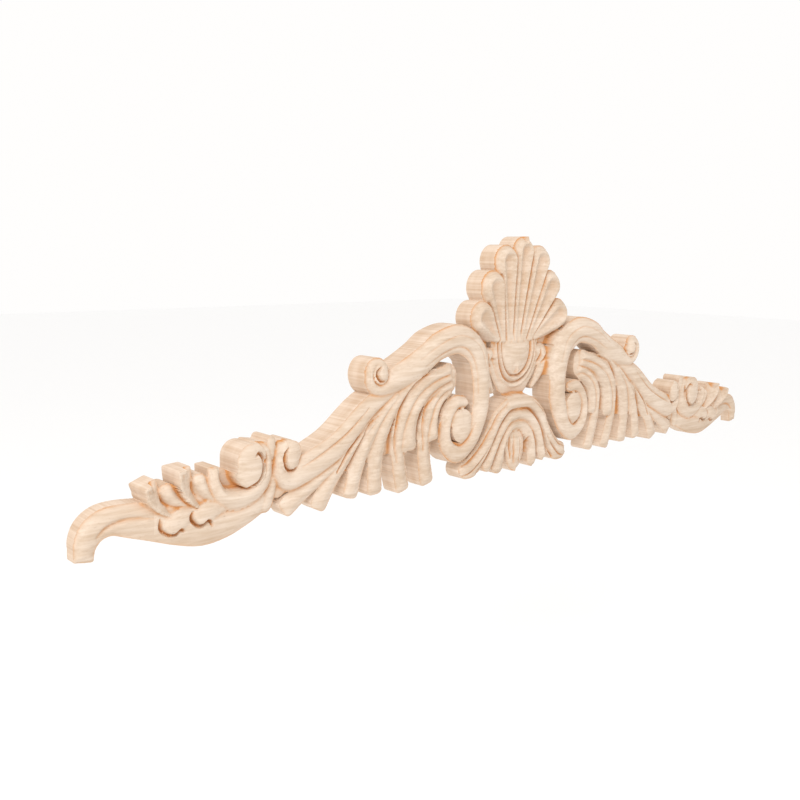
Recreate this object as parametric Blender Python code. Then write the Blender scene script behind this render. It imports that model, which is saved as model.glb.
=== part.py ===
"""Acanthus wood applique: a long pediment onlay carved in one piece from pale hardwood.

The front is one relief over a flat back. Every leaf, band and volute is a stroke: a line with a
half width and a height along it and a rounded or ridged section across it. The outline is the
union of the strokes, the front height is the highest stroke at each place, less the gouge cuts.
Plan positions and widths are in units of UNIT, heights are shares of THICKNESS.
The back lies in the plane y = 0, the carving faces -Y, and the origin is on the back.
"""

import math

import bmesh
import bpy
import numpy as np
from mathutils import Vector
from mathutils.geometry import delaunay_2d_cdt

# Overall sizes in metres
LENGTH = 0.600
THICKNESS = 0.020

# The plan is drawn in a unit of which the whole length holds this many
SPAN = 1.0087
UNIT = LENGTH / SPAN

# The origin stands on the centre line this many units above the tail tips
ORIGIN_HEIGHT = 0.070

# Fineness of the faceted solid
SAMPLE_PITCH = 0.0010
OUTLINE_TOLERANCE = 0.00035
SMALLEST_HOLE = 0.00002
START_SPACING = 0.012
FRONT_POINTS = 1550
REFINE_ROUNDS = 12
WEB_HEIGHT = 0.32
SHARP_ANGLE = math.radians(35.0)

# A stroke's height counts this far outside its edge, and a stroke is searched this far round it
EDGE_SLACK = 0.0009
SEARCH_MARGIN = 0.004

# Points of the front keep this far from the outline
EDGE_CLEARANCE = 0.0012

# Values closer than these count as zero or as one place
NEARLY_ZERO = 1e-12
SAME_PLACE = 1e-7
DECIMALS = 9

# Sections across a stroke: crest position, fall to the right side, fall to the left side, power
ROUND = (0.0, 0.24, 0.24, 2.0)
RIDGE = (0.0, 0.16, 0.16, 1.2)
FLAT = (0.0, 0.08, 0.08, 3.0)
COLLAR = (0.0, 0.16, 0.16, 3.0)
ARCH = (0.10, 0.18, 0.24, 1.6)
FINGER = (0.0, 0.17, 0.17, 1.5)
BAND = (-0.35, 0.20, 0.24, 1.8)
ARM = (-0.10, 0.34, 0.18, 2.0)
SCROLL = (0.05, 0.26, 0.20, 2.0)
DOME = (0.0, 0.11, 0.11, 2.4)
LOBE = (0.0, 0.36, 0.36, 3.0)
TAIL = (0.15, 0.22, 0.26, 2.0)
SHINGLE = (-0.80, 0.08, 0.30, 1.1)

# Shell of seven lobes: where they start, and their tips by angle and reach from the fan's focus
LOBE_ROOTS = ((0.0, 0.1520), (0.0112, 0.1530), (0.0222, 0.1540), (0.0315, 0.1555))
SHELL_FOCUS = (0.0, 0.149)
SHELL_ANGLES = (0.0, 16.8, 36.7, 64.0)
SHELL_REACHES = (0.0995, 0.0930, 0.0766, 0.0682)

# Half widths of a lobe at its tip, half way as a share of the tip, and at its root; its heights
LOBE_TIPS = (0.0164, 0.0178, 0.0186, 0.0182)
LOBE_WAIST = 0.72
LOBE_ROOT = 0.0060
LOBE_HEIGHTS = (0.58, 0.74, 0.95)

# The flute down each lobe: half widths at root and half way, and at the tip as a share of the lobe
FLUTE_ROOT = 0.0036
FLUTE_WAIST = 0.0058
FLUTE_SHARE = 0.56
FLUTE_DEPTHS = (0.04, 0.12, 0.20)


def spline(rows, steps):
    """A smooth line through the rows: each row is x, z, half width, height."""
    rows = np.asarray(rows, float)
    padded = np.vstack([2 * rows[0] - rows[1], rows, 2 * rows[-1] - rows[-2]])
    t = (np.arange(steps) / steps)[:, None]
    parts = []
    for k in range(1, len(rows)):
        a, b, c, d = padded[k - 1:k + 3]
        curve = b + 0.5 * t * ((c - a) + t * ((2 * a - 5 * b + 4 * c - d) + t * (3 * b - a - 3 * c + d)))
        parts.append(curve)
    parts.append(rows[-1:])
    return np.vstack(parts)


def bow(root, bend, tip, widths, heights, steps=10):
    """A leaf finger: a quadratic bow from root to tip, drawn towards the bend."""
    t = np.linspace(0.0, 1.0, steps + 1)[:, None]
    line = (1 - t) ** 2 * np.array(root) + 2 * t * (1 - t) * np.array(bend) + t ** 2 * np.array(tip)
    at = t[:, 0]
    wide = np.interp(at, (0.0, 0.5, 1.0), widths)
    high = np.interp(at, (0.0, 0.5, 1.0), heights)
    return np.column_stack([line, wide, high])


def shell_lobes():
    """Root, tip and half width at the tip of the middle lobe and of the three to its right."""
    for root, angle, reach, wide in zip(LOBE_ROOTS, SHELL_ANGLES, SHELL_REACHES, LOBE_TIPS):
        way = np.array([math.sin(math.radians(angle)), math.cos(math.radians(angle))])
        yield np.array(root), np.array(SHELL_FOCUS) + way * reach, wide


def strokes():
    """All strokes of the right half, each as its line and its section."""
    out = []

    def add(line, section):
        out.append((np.asarray(line, float), section))

    # Shell: seven round lobes that fan out from the boss and roll down to their rims
    add([(0, 0.160, 0.040, 0.46), (0, 0.190, 0.053, 0.50), (0, 0.215, 0.036, 0.50)], FLAT)
    for root, tip, wide in shell_lobes():
        add(bow(root, (root + tip) / 2, tip, (LOBE_ROOT, wide * LOBE_WAIST, wide), LOBE_HEIGHTS), LOBE)
    # Shell boss in its collar
    add(spline([(0, 0.165, 0.0335, 0.50), (0, 0.150, 0.0352, 0.51), (0, 0.130, 0.0325, 0.51),
                (0, 0.112, 0.0260, 0.48), (0, 0.100, 0.0190, 0.42), (0, 0.093, 0.0148, 0.36)], 4), COLLAR)
    add(spline([(0, 0.1480, 0.0205, 0.60), (0, 0.1420, 0.0222, 0.66), (0, 0.1360, 0.0200, 0.67),
                (0, 0.1310, 0.0154, 0.64)], 4), ROUND)
    # Side leaf between the collar and the scroll, and its stalk down the collar
    add(spline([(0.0395, 0.1335, 0.0082, 0.46), (0.0465, 0.1300, 0.0098, 0.50), (0.0512, 0.1225, 0.0052, 0.47)],
               4), ROUND)
    add(spline([(0.0380, 0.1290, 0.0050, 0.45), (0.0305, 0.1130, 0.0040, 0.45), (0.0215, 0.0985, 0.0030, 0.40)],
               4), RIDGE)

    # Base palmette: a bud under three arches of leaf, the outermost running into the long outer leaf
    add(spline([(0, 0.0480, 0.0080, 0.62), (0, 0.0400, 0.0140, 0.70), (0, 0.0290, 0.0150, 0.72),
                (0, 0.0180, 0.0120, 0.70), (0, 0.0110, 0.0072, 0.66)], 4), ROUND)
    add(spline([(0, 0.0585, 0.0056, 0.75), (0.0110, 0.0560, 0.0060, 0.77), (0.0205, 0.0455, 0.0066, 0.79),
                (0.0260, 0.0310, 0.0080, 0.77), (0.0290, 0.0140, 0.0086, 0.72)], 5), ARCH)
    add(spline([(0, 0.0700, 0.0062, 0.82), (0.0170, 0.0660, 0.0066, 0.84), (0.0305, 0.0520, 0.0072, 0.84),
                (0.0390, 0.0350, 0.0072, 0.80), (0.0465, 0.0170, 0.0070, 0.74)], 5), ARCH)
    add(spline([(0, 0.0830, 0.0075, 0.84), (0.0200, 0.0795, 0.0085, 0.86), (0.0360, 0.0660, 0.0092, 0.86),
                (0.0460, 0.0480, 0.0100, 0.84), (0.0580, 0.0315, 0.0112, 0.80), (0.0700, 0.0200, 0.0118, 0.76),
                (0.0790, 0.0175, 0.0106, 0.74)], 5), ARCH)

    # Leaf behind the fingers, then the fingers: root, bend, tip
    add(spline([(0.1150, 0.117, 0.0165, 0.50), (0.1500, 0.095, 0.0300, 0.50), (0.1900, 0.0780, 0.0290, 0.50),
                (0.2250, 0.0620, 0.0180, 0.50), (0.2700, 0.0430, 0.0100, 0.50),
                (0.3000, 0.0340, 0.0080, 0.50)], 5), FLAT)
    add([(0.1115, 0.1215, 0.0135, 0.70), (0.1115, 0.1150, 0.0135, 0.70)], DOME)
    fingers = [
        ((0.1110, 0.1040), (0.1360, 0.0960), (0.1335, 0.0642), (0.0045, 0.0065, 0.0074), (0.80, 0.86, 0.86)),
        ((0.1085, 0.1115), (0.1590, 0.1010), (0.1370, 0.0190), (0.0045, 0.0072, 0.0092), (0.82, 0.86, 0.66)),
        ((0.1110, 0.1195), (0.1685, 0.1080), (0.1660, 0.0602), (0.0045, 0.0078, 0.0098), (0.84, 0.88, 0.86)),
        ((0.1140, 0.1275), (0.2000, 0.1120), (0.1705, 0.0166), (0.0060, 0.0078, 0.0088), (0.86, 0.86, 0.66)),
        ((0.1540, 0.1240), (0.2140, 0.0900), (0.2060, 0.0202), (0.0055, 0.0086, 0.0092), (0.84, 0.84, 0.66)),
        ((0.1830, 0.1073), (0.2240, 0.0760), (0.2355, 0.0215), (0.0045, 0.0072, 0.0090), (0.82, 0.82, 0.68)),
        ((0.2080, 0.0873), (0.2480, 0.0610), (0.2720, 0.0175), (0.0040, 0.0078, 0.0098), (0.80, 0.78, 0.68)),
        ((0.2440, 0.0540), (0.2840, 0.0360), (0.3070, 0.0195), (0.0040, 0.0070, 0.0095), (0.76, 0.74, 0.68)),
    ]
    for finger in fingers:
        add(bow(*finger), FINGER)

    # Lower arm and its small volute
    add(spline([(0.1700, 0.1200, 0.0100, 0.70), (0.2154, 0.0995, 0.0120, 0.84), (0.2505, 0.0702, 0.0144, 0.88),
                (0.2756, 0.0568, 0.0152, 0.88), (0.2952, 0.0490, 0.0152, 0.86), (0.3083, 0.0430, 0.0108, 0.84),
                (0.3192, 0.0494, 0.0075, 0.84), (0.3217, 0.0610, 0.0048, 0.82),
                (0.3195, 0.0729, 0.0060, 0.82), (0.3121, 0.0761, 0.0055, 0.80)], 5), ARM)
    add([(0.3100, 0.0698, 0.0105, 0.92), (0.3112, 0.0625, 0.0092, 0.92)], DOME)

    # Upper scroll: curl on the shoulder, over the top, round and into the inner volute
    add(spline([(0.2000, 0.1325, 0.0050, 0.86), (0.2048, 0.1408, 0.0055, 0.86), (0.2143, 0.1400, 0.0060, 0.88),
                (0.2188, 0.1305, 0.0060, 0.88), (0.2145, 0.1200, 0.0065, 0.88), (0.2030, 0.1160, 0.0075, 0.90),
                (0.1830, 0.1245, 0.0130, 0.92), (0.1635, 0.1325, 0.0145, 0.94), (0.1440, 0.1440, 0.0138, 0.96),
                (0.1265, 0.1545, 0.0145, 1.00), (0.0985, 0.1590, 0.0152, 1.00), (0.0749, 0.1459, 0.0153, 0.99),
                (0.0672, 0.1290, 0.0147, 0.98), (0.0640, 0.1070, 0.0137, 0.96), (0.0644, 0.0850, 0.0138, 0.96),
                (0.0700, 0.0665, 0.0127, 0.96), (0.0797, 0.0492, 0.0113, 0.94), (0.0965, 0.0388, 0.0113, 0.92),
                (0.1120, 0.0475, 0.0088, 0.90), (0.1165, 0.0640, 0.0076, 0.90), (0.1125, 0.0810, 0.0076, 0.90),
                (0.1020, 0.0925, 0.0076, 0.90), (0.0890, 0.0925, 0.0065, 0.88)], 5), SCROLL)
    add([(0.0935, 0.0715, 0.0142, 0.92), (0.0935, 0.0645, 0.0142, 0.92)], DOME)
    add([(0.2066, 0.1350, 0.0084, 0.95), (0.2056, 0.1302, 0.0080, 0.95)], DOME)

    # Tail: swept body, outer volute with its tab, shingled blades and the two folded lobes
    add(spline([(0.3376, 0.0266, 0.0110, 0.62), (0.3555, 0.0185, 0.0112, 0.64), (0.3742, 0.0155, 0.0145, 0.66),
                (0.3950, 0.0165, 0.0178, 0.68), (0.4162, 0.0215, 0.0178, 0.66), (0.4362, 0.0272, 0.0165, 0.64),
                (0.4560, 0.0318, 0.0145, 0.60), (0.4705, 0.0345, 0.0125, 0.57), (0.4812, 0.0332, 0.0120, 0.54),
                (0.4895, 0.0280, 0.0112, 0.52), (0.4943, 0.0200, 0.0098, 0.50), (0.4956, 0.0128, 0.0084, 0.47)], 5), TAIL)
    add(spline([(0.3868, 0.0622, 0.0046, 0.84), (0.3858, 0.0510, 0.0058, 0.84), (0.3785, 0.0390, 0.0070, 0.84),
                (0.3634, 0.0342, 0.0088, 0.84), (0.3463, 0.0384, 0.0083, 0.84), (0.3354, 0.0494, 0.0072, 0.84),
                (0.3324, 0.0630, 0.0055, 0.82), (0.3343, 0.0748, 0.0055, 0.82), (0.3425, 0.0770, 0.0060, 0.84)],
               5), BAND)
    add([(0.3524, 0.0690, 0.0142, 0.97), (0.3524, 0.0594, 0.0144, 0.97)], DOME)
    add([(0.3298, 0.0818, 0.0048, 0.78), (0.3305, 0.0702, 0.0050, 0.76)], FLAT)
    add(spline([(0.3243, 0.0557, 0.0050, 0.66), (0.3259, 0.0398, 0.0065, 0.66),
                (0.3323, 0.0244, 0.0090, 0.62)], 5), ROUND)
    add([(0.3470, 0.0460, 0.0070, 0.46), (0.3640, 0.0470, 0.0080, 0.46), (0.3755, 0.0555, 0.0072, 0.46)], FLAT)
    add([(0.3060, 0.0400, 0.0060, 0.55), (0.3185, 0.0330, 0.0058, 0.55)], FLAT)
    add([(0.0480, 0.1480, 0.0060, 0.34), (0.0600, 0.1560, 0.0080, 0.34)], FLAT)
    add(spline([(0.3860, 0.0375, 0.0030, 0.68), (0.3935, 0.0455, 0.0062, 0.74), (0.3985, 0.0555, 0.0072, 0.76)],
               4), ROUND)
    add(spline([(0.4110, 0.0370, 0.0030, 0.64), (0.4205, 0.0430, 0.0060, 0.70), (0.4275, 0.0505, 0.0080, 0.72)],
               4), ROUND)
    add([(0.4080, 0.0420, 0.0070, 0.60), (0.4140, 0.0600, 0.0062, 0.66)], FLAT)
    add([(0.4330, 0.0380, 0.0090, 0.56), (0.4432, 0.0500, 0.0060, 0.60)], FLAT)
    blades = [
        [(0.3960, 0.0372, 0.0030, 0.72), (0.4052, 0.0480, 0.0056, 0.80), (0.4108, 0.0585, 0.0074, 0.82),
         (0.4118, 0.0615, 0.0074, 0.82)],
        [(0.4212, 0.0340, 0.0030, 0.68), (0.4312, 0.0440, 0.0056, 0.76), (0.4378, 0.0520, 0.0074, 0.78),
         (0.4392, 0.0538, 0.0074, 0.78)],
    ]
    crests = [
        [(0.3985, 0.0362, 0.0026, 0.73), (0.4088, 0.0458, 0.0036, 0.84), (0.4156, 0.0580, 0.0042, 0.90),
         (0.4172, 0.0654, 0.0036, 0.93)],
        [(0.4240, 0.0330, 0.0026, 0.70), (0.4350, 0.0425, 0.0036, 0.80), (0.4430, 0.0510, 0.0042, 0.86),
         (0.4462, 0.0562, 0.0034, 0.89)],
    ]
    for blade, crest in zip(blades, crests):
        add(spline(blade, 4), SHINGLE)
        add(spline(crest, 4), RIDGE)
    add([(0.4090, 0.0652, 0.0044, 0.80), (0.4172, 0.0654, 0.0034, 0.84)], FLAT)
    add([(0.4375, 0.0574, 0.0044, 0.76), (0.4462, 0.0562, 0.0032, 0.80)], FLAT)
    add(spline([(0.3800, 0.0310, 0.0070, 0.70), (0.3900, 0.0290, 0.0082, 0.76),
                (0.3985, 0.0255, 0.0076, 0.78)], 4), DOME)
    add(spline([(0.4060, 0.0310, 0.0060, 0.68), (0.4150, 0.0270, 0.0080, 0.74),
                (0.4245, 0.0225, 0.0082, 0.74)], 4), DOME)
    return out


def hollows():
    """Round gouge cuts of the right half: lines whose rows are x, z, half width and depth."""
    out = []
    for root, tip, wide in shell_lobes():
        widths = (FLUTE_ROOT, FLUTE_WAIST, wide * FLUTE_SHARE)
        out.append(bow(root, (root + tip) / 2, tip, widths, FLUTE_DEPTHS))
    out.append(spline([(0.0185, 0.0410, 0.0018, 0.10), (0.0192, 0.0320, 0.0032, 0.36),
                       (0.0182, 0.0235, 0.0026, 0.22)], 4))
    return out


def nearest(points, line):
    """The line's row nearest each point as a share of its half width, with the share to the next
    row, the gap, the half width there and the side."""
    p = points[:, None, :]
    a = line[:-1, :2]
    ab = line[1:, :2] - a
    size = np.maximum((ab ** 2).sum(axis=1), NEARLY_ZERO)
    t = np.clip(((p - a) * ab).sum(axis=2) / size, 0.0, 1.0)
    off = p - (a + t[..., None] * ab)
    gap = np.sqrt((off ** 2).sum(axis=2))
    wide = line[:-1, 2] + t * (line[1:, 2] - line[:-1, 2])
    pick = np.argmin(gap / wide, axis=1)
    row = np.arange(len(points))
    turn = ab[pick, 0] * off[row, pick, 1] - ab[pick, 1] * off[row, pick, 0]
    return pick, t[row, pick], gap[row, pick], wide[row, pick], np.sign(turn)


def close_to(points, line, margin):
    """The indices of the points in the line's box, widened by its half width and a margin."""
    reach = line[:, 2].max() + margin
    low, high = line[:, :2].min(axis=0) - reach, line[:, :2].max(axis=0) + reach
    return np.nonzero(((points >= low) & (points <= high)).all(axis=1))[0]


def relief(points, lines):
    """Inside distance in units and front height (share of thickness) at plan points."""
    inside = np.full(len(points), -1.0)
    height = np.zeros(len(points))
    for line, (crest, right, left, power) in lines:
        near = close_to(points, line, SEARCH_MARGIN)
        pick, t, gap, wide, side = nearest(points[near], line)
        s = side * gap / wide
        away = np.where(s > crest, (s - crest) / (1.0 - crest), (crest - s) / (1.0 + crest))
        fall = np.where(s > crest, left, right) * np.clip(away, 0.0, 1.0) ** power
        level = line[pick, 3] + t * (line[pick + 1, 3] - line[pick, 3])
        covered = wide - gap > -EDGE_SLACK
        inside[near] = np.maximum(inside[near], wide - gap)
        height[near] = np.where(covered, np.maximum(height[near], level * (1.0 - fall)), height[near])
    sunk = np.zeros(len(points))
    for line in hollows():
        near = close_to(points, line, 0.0)
        pick, t, gap, wide, _ = nearest(points[near], line)
        depth = line[pick, 3] + t * (line[pick + 1, 3] - line[pick, 3])
        sunk[near] = np.maximum(sunk[near], depth * np.clip(1.0 - (gap / wide) ** 2, 0.0, 1.0))
    return inside, height - sunk


def outline(lines):
    """The outline of the right half: runs of plan points along the zero of the inside distance."""
    low, high = np.full(2, np.inf), np.full(2, -np.inf)
    for line, _ in lines:
        reach = line[:, 2].max() + SEARCH_MARGIN
        low = np.minimum(low, line[:, :2].min(axis=0) - reach)
        high = np.maximum(high, line[:, :2].max(axis=0) + reach)
    xs = np.arange(0.0, high[0], SAMPLE_PITCH)
    zs = np.arange(low[1], high[1], SAMPLE_PITCH)
    grid_x, grid_z = np.meshgrid(xs, zs, indexing="ij")
    inside, _ = relief(np.column_stack([grid_x.ravel(), grid_z.ravel()]), lines)
    inside = inside.reshape(grid_x.shape)
    inside = np.where(np.abs(inside) < SAME_PLACE, SAME_PLACE, inside)
    links = {}
    place = {}

    def crossing(i, j, m, n):
        key = (i, j, m, n)
        if key not in place:
            share = inside[i, j] / (inside[i, j] - inside[m, n])
            place[key] = (xs[i] + share * (xs[m] - xs[i]), zs[j] + share * (zs[n] - zs[j]))
        return key

    solid = inside > 0
    mixed = (solid[:-1, :-1].astype(int) + solid[1:, :-1] + solid[:-1, 1:] + solid[1:, 1:])
    for i, j in zip(*np.nonzero((mixed > 0) & (mixed < 4))):
        corners = ((i, j), (i + 1, j), (i + 1, j + 1), (i, j + 1))
        hits = []
        for k in range(4):
            a, b = corners[k], corners[(k + 1) % 4]
            if solid[a] != solid[b]:
                first, second = (a, b) if a <= b else (b, a)
                hits.append((crossing(*first, *second), bool(solid[a])))
        # Walking round the cell, a leaving hit is joined to the next entering hit
        for k, (key, leaving) in enumerate(hits):
            if leaving:
                links[key] = hits[(k + 1) % len(hits)][0]
    runs = []
    starts = set(links) - set(links.values())
    while links:
        head = starts.pop() if starts else next(iter(links))
        run = [head]
        while run[-1] in links:
            run.append(links.pop(run[-1]))
        runs.append(np.array([place[key] for key in run]))
    return runs


def simplify(run, tolerance):
    """Fewer points along a run, none further than the tolerance from it."""
    keep = np.zeros(len(run), bool)
    keep[[0, -1]] = True
    spans = [(0, len(run) - 1)]
    if np.allclose(run[0], run[-1]):
        far = int(np.argmax(((run - run[0]) ** 2).sum(axis=1)))
        keep[far] = True
        spans = [(0, far), (far, len(run) - 1)]
    while spans:
        a, b = spans.pop()
        if b - a < 2:
            continue
        way = run[b] - run[a]
        size = max(float(np.hypot(*way)), NEARLY_ZERO)
        off = np.abs(way[0] * (run[a + 1:b, 1] - run[a, 1]) - way[1] * (run[a + 1:b, 0] - run[a, 0])) / size
        worst = int(np.argmax(off))
        if off[worst] > tolerance:
            keep[a + 1 + worst] = True
            spans += [(a, a + 1 + worst), (a + 1 + worst, b)]
    return run[keep]


def half_plan(lines):
    """Outline points, the wall edges between them and the edges along the centre line."""
    points = []
    walls = []
    axis_points = []
    for run in outline(lines):
        closed = np.allclose(run[0], run[-1])
        area = 0.5 * abs(np.sum(run[:-1, 0] * run[1:, 1] - run[1:, 0] * run[:-1, 1]))
        if closed and area < SMALLEST_HOLE:
            continue
        run = simplify(run, OUTLINE_TOLERANCE)
        base = len(points)
        body = run[:-1] if closed else run
        points += [tuple(p) for p in body]
        count = len(body)
        walls += [(base + k, base + (k + 1) % count) for k in range(count if closed else count - 1)]
        if not closed:
            axis_points += [base, base + count - 1]
    axis_points.sort(key=lambda k: points[k][1])
    axis = [(axis_points[k], axis_points[k + 1]) for k in range(0, len(axis_points) - 1, 2)]
    return np.array(points), walls, axis


def inside_plan(tests, points, edges):
    """Even and odd count of the outline edges to the right of each test point."""
    a, b = points[[e[0] for e in edges]], points[[e[1] for e in edges]]
    x, z = tests[:, 0][:, None], tests[:, 1][:, None]
    spans = (a[:, 1] > z) != (b[:, 1] > z)
    rise = b[:, 1] - a[:, 1]
    rise = np.where(np.abs(rise) < NEARLY_ZERO, NEARLY_ZERO, rise)
    cross = a[:, 0] + (z - a[:, 1]) * (b[:, 0] - a[:, 0]) / rise
    return (spans & (cross > x)).sum(axis=1) % 2 == 1


def triangulate(points, edges, outline_points, outline_edges):
    """Triangles of the plan inside the outline, wound the same way."""
    result = delaunay_2d_cdt([Vector(p) for p in points], edges, [], 0, SAME_PLACE)
    faces = np.array([face for face in result[2] if len(face) == 3])
    origin = [entry[0] if entry else -1 for entry in result[3]]
    places = np.array([points[k] if k >= 0 else tuple(v) for k, v in zip(origin, result[0])])
    middle = places[faces].mean(axis=1)
    faces = faces[inside_plan(middle, outline_points, outline_edges)]
    return places, faces, origin


def front_mesh(lines, outline_points, edges):
    """The front as triangles, refined where they stray furthest from the relief."""
    low, high = outline_points.min(axis=0), outline_points.max(axis=0)
    xs = np.arange(0.0, high[0], SAMPLE_PITCH)
    zs = np.arange(low[1], high[1], SAMPLE_PITCH)
    grid_x, grid_z = np.meshgrid(xs, zs, indexing="ij")
    samples = np.column_stack([grid_x.ravel(), grid_z.ravel()])
    inside, target = relief(samples, lines)
    inside = inside.reshape(grid_x.shape)
    target = np.maximum(target, WEB_HEIGHT).reshape(grid_x.shape)
    step = int(START_SPACING / SAMPLE_PITCH)
    usable = inside > EDGE_CLEARANCE
    chosen = [(i, j) for i in range(0, len(xs), step) for j in range(step // 2, len(zs), step) if usable[i, j]]
    taken = set(chosen)
    outline_heights = np.maximum(relief(outline_points, lines)[1], WEB_HEIGHT)
    for turn in range(REFINE_ROUNDS + 1):
        extra = [(xs[i], zs[j]) for i, j in chosen]
        points = np.vstack([outline_points, np.array(extra)])
        places, faces, origin = triangulate(points, edges, outline_points, edges)
        heights = np.concatenate([outline_heights, [target[i, j] for i, j in chosen]])
        level = np.array([heights[k] if k >= 0 else 0.0 for k in origin])
        if turn == REFINE_ROUNDS:
            return places, faces, level
        found = []
        for face in faces:
            p = places[face]
            q = level[face]
            i0 = max(int(p[:, 0].min() / SAMPLE_PITCH), 0)
            i1 = int(p[:, 0].max() / SAMPLE_PITCH) + 2
            j0 = max(int((p[:, 1].min() - zs[0]) / SAMPLE_PITCH), 0)
            j1 = int((p[:, 1].max() - zs[0]) / SAMPLE_PITCH) + 2
            x = grid_x[i0:i1, j0:j1] - p[0, 0]
            z = grid_z[i0:i1, j0:j1] - p[0, 1]
            ax, az = p[1] - p[0]
            bx, bz = p[2] - p[0]
            area = ax * bz - az * bx
            if abs(area) < NEARLY_ZERO:
                continue
            u = (x * bz - z * bx) / area
            v = (z * ax - x * az) / area
            ok = (u >= 0) & (v >= 0) & (u + v <= 1) & usable[i0:i1, j0:j1]
            if not ok.any():
                continue
            flat = q[0] + u * (q[1] - q[0]) + v * (q[2] - q[0])
            miss = np.where(ok, np.abs(flat - target[i0:i1, j0:j1]), 0.0)
            at = np.unravel_index(int(np.argmax(miss)), miss.shape)
            found.append((float(miss[at]), i0 + int(at[0]), j0 + int(at[1])))
        found.sort(reverse=True)
        share = (FRONT_POINTS - len(chosen)) // (REFINE_ROUNDS - turn)
        for miss, i, j in found:
            if share <= 0:
                break
            if (i, j) not in taken:
                taken.add((i, j))
                chosen.append((i, j))
                share -= 1


def place_key(x, z):
    """One name for a plan point, however it was reached."""
    return round(x, DECIMALS), round(z, DECIMALS)


def build_solid():
    """The whole applique: front relief, upright walls and flat back, mirrored about x = 0."""
    lines = strokes()
    outline_points, walls, axis = half_plan(lines)
    edges = walls + axis
    front, faces, level = front_mesh(lines, outline_points, edges)
    back, back_faces, _ = triangulate(outline_points, edges, outline_points, edges)
    mesh = bmesh.new()
    made = {}

    def vertex(side, x, z, depth):
        key = (0 if x == 0.0 else side, *(round(value, DECIMALS) for value in (x, z, depth)))
        if key not in made:
            made[key] = mesh.verts.new((side * x * UNIT, -depth * THICKNESS, (z - ORIGIN_HEIGHT) * UNIT))
        return made[key]

    heights = {place_key(x, z): h for (x, z), h in zip(front, level)}
    for side in (1, -1):
        for face in faces:
            corners = [vertex(side, front[k, 0], front[k, 1], level[k]) for k in face]
            mesh.faces.new(corners)
        for face in back_faces:
            mesh.faces.new([vertex(side, back[k, 0], back[k, 1], 0.0) for k in face])
        for a, b in walls:
            (ax, az), (bx, bz) = outline_points[a], outline_points[b]
            a_top = vertex(side, ax, az, heights[place_key(ax, az)])
            b_top = vertex(side, bx, bz, heights[place_key(bx, bz)])
            a_low, b_low = vertex(side, ax, az, 0.0), vertex(side, bx, bz, 0.0)
            mesh.faces.new((a_top, b_top, b_low))
            mesh.faces.new((a_top, b_low, a_low))
    bmesh.ops.recalc_face_normals(mesh, faces=mesh.faces)
    return mesh


def wood():
    """Pale unfinished hardwood."""
    material = bpy.data.materials.new("pale_hardwood")
    material.use_nodes = True
    shader = material.node_tree.nodes["Principled BSDF"]
    shader.inputs["Base Color"].default_value = (0.74, 0.56, 0.40, 1.0)
    shader.inputs["Roughness"].default_value = 0.62
    shader.inputs["Metallic"].default_value = 0.0
    return material


def main():
    for item in list(bpy.data.objects):
        bpy.data.objects.remove(item, do_unlink=True)
    mesh = build_solid()
    data = bpy.data.meshes.new("carved_applique")
    mesh.to_mesh(data)
    mesh.free()
    data.materials.append(wood())
    data.shade_smooth()
    data.set_sharp_from_angle(angle=SHARP_ANGLE)
    applique = bpy.data.objects.new("carved_applique", data)
    bpy.context.scene.collection.objects.link(applique)


main()
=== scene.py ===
"""The acanthus wood applique, dressed: carved front, routed sides and planed back in pale hardwood."""

import math

import bpy
import numpy as np
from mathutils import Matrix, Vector
from mathutils.geometry import delaunay_2d_cdt


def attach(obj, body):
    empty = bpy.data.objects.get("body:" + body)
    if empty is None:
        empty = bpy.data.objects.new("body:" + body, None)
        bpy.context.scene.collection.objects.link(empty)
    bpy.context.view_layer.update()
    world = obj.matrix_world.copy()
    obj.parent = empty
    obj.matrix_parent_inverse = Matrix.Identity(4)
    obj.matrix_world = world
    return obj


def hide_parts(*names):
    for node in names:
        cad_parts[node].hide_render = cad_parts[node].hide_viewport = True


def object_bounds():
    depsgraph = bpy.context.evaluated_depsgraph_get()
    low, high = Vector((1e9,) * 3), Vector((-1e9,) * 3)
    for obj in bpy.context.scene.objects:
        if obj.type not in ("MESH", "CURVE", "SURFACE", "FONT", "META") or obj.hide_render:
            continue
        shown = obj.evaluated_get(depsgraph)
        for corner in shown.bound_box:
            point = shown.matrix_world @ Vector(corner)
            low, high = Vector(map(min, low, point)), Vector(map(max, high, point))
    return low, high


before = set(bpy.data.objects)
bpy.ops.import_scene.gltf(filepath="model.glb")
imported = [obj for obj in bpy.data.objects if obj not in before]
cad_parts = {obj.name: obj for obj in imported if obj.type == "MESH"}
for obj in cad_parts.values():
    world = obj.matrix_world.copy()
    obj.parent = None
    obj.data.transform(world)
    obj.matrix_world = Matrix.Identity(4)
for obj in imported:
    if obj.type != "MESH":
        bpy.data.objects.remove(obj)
cad_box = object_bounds()

# The carved applique is one board of pale, unfinished rubberwood, glued up from strips. Its front
# is carved in relief by machine and cleaned by hand, its sides are routed square through the
# board, and its back is planed flat. It is fixed to a panel or a wall by that back.

# Sizes in metres. The plan is drawn in a unit of which the whole length holds SPAN, and the
# origin is ORIGIN_HEIGHT of these units above the tail tips.
LENGTH = 0.600
THICKNESS = 0.020
SPAN = 1.0087
UNIT = LENGTH / SPAN
ORIGIN_HEIGHT = 0.070

# Surface grid in those units: its spacing, and how far it reaches sideways, down and up
GRID_PITCH = 0.00113
GRID_SIDE = 0.506
GRID_LOW = -0.006
GRID_HIGH = 0.274

# The lowest and the highest front as shares of the thickness: the web between the leaves, and
# the crest of the scroll
WEB_HEIGHT = 0.32
HIGHEST = 0.997

# How much of each height is the mean of its neighbours, as a gouge leaves no knife edge
SOFTENING = 0.3

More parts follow.
